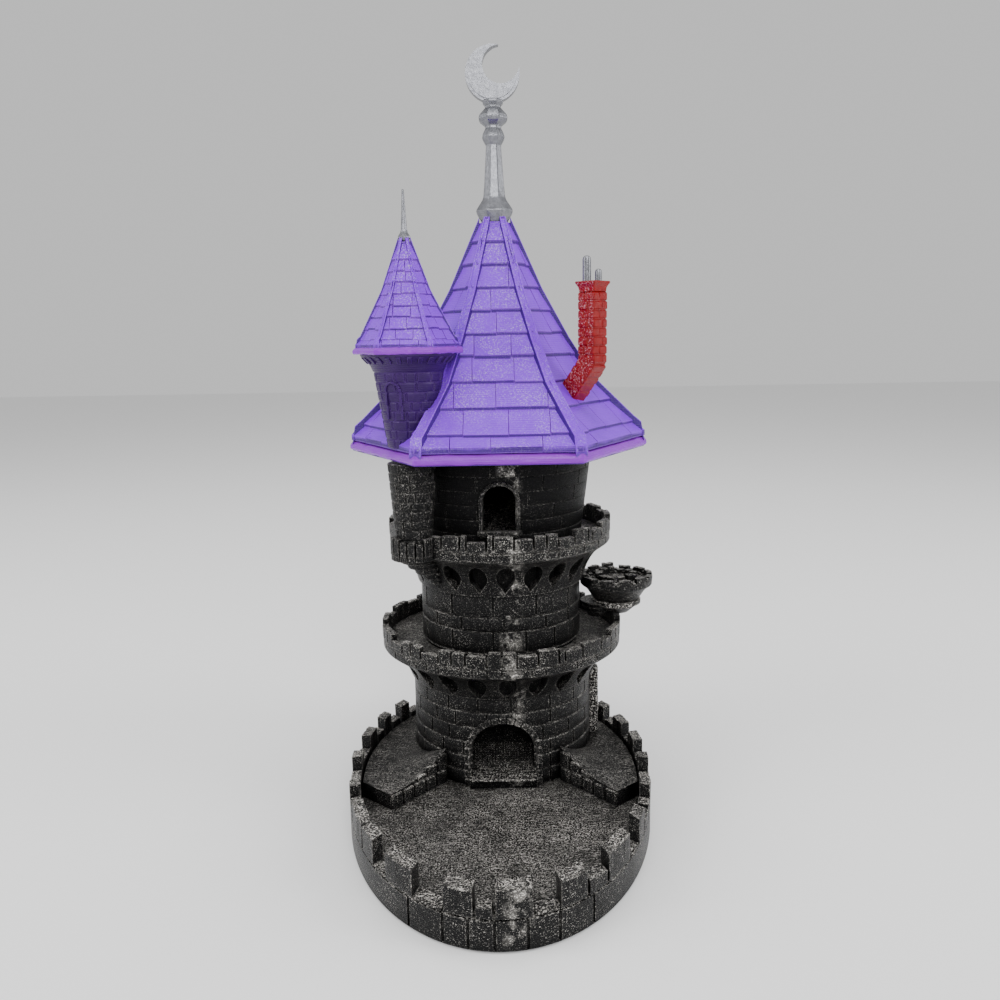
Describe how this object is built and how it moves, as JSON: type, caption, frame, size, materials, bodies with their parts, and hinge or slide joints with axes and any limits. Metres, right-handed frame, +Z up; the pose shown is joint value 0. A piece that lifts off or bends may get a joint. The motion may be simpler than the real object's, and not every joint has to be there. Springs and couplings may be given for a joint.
{
  "type": "dice tower",
  "caption": "Castle-shaped dice tower with a walled tray, arched door, two galleries, and a lift-off roof with side turret, chimney and moon finial.",
  "frame": {"origin": "on the tower's axis at the underside of the tray", "axes": "+Z up along the tower's axis, -Y towards the tray's front, +X to the right seen from the front"},
  "size_m": [0.1286, 0.1828, 0.3],
  "materials": {
    "black_plastic": "layered print with silver dry-brushed edges and speckle",
    "purple_plastic": "glossy print, lightly speckled with silver",
    "red_plastic": "glossy print",
    "silver_plastic": "metallic silver print"
  },
  "bodies": {
    "base": {"base_tray": "black_plastic", "terrace_left": "black_plastic", "terrace_right": "black_plastic", "exit_ramp": "black_plastic", "lower_tower": "black_plastic", "lower_gallery": "black_plastic"},
    "upper_section": {"middle_tower": "black_plastic", "lower_baffle": "black_plastic", "bartizan": "black_plastic", "upper_gallery": "black_plastic", "lantern_room": "black_plastic", "upper_baffle": "black_plastic", "turret_foot": "black_plastic"},
    "roof": {"main_roof": "purple_plastic", "moon_finial": "silver_plastic", "side_turret": "purple_plastic", "side_turret_roof": "purple_plastic", "side_spike": "silver_plastic", "chimney": "red_plastic", "tall_flue_pipe": "silver_plastic", "short_flue_pipe": "silver_plastic"}
  },
  "joints": [
    {"name": "upper_section_lift", "type": "slide", "parent": "base", "child": "upper_section", "axis": [0, 0, 1], "range_m": [0, 0.04]},
    {"name": "roof_lift", "type": "slide", "parent": "upper_section", "child": "roof", "axis": [0, 0, 1], "range_m": [0, 0.04]}
  ]
}
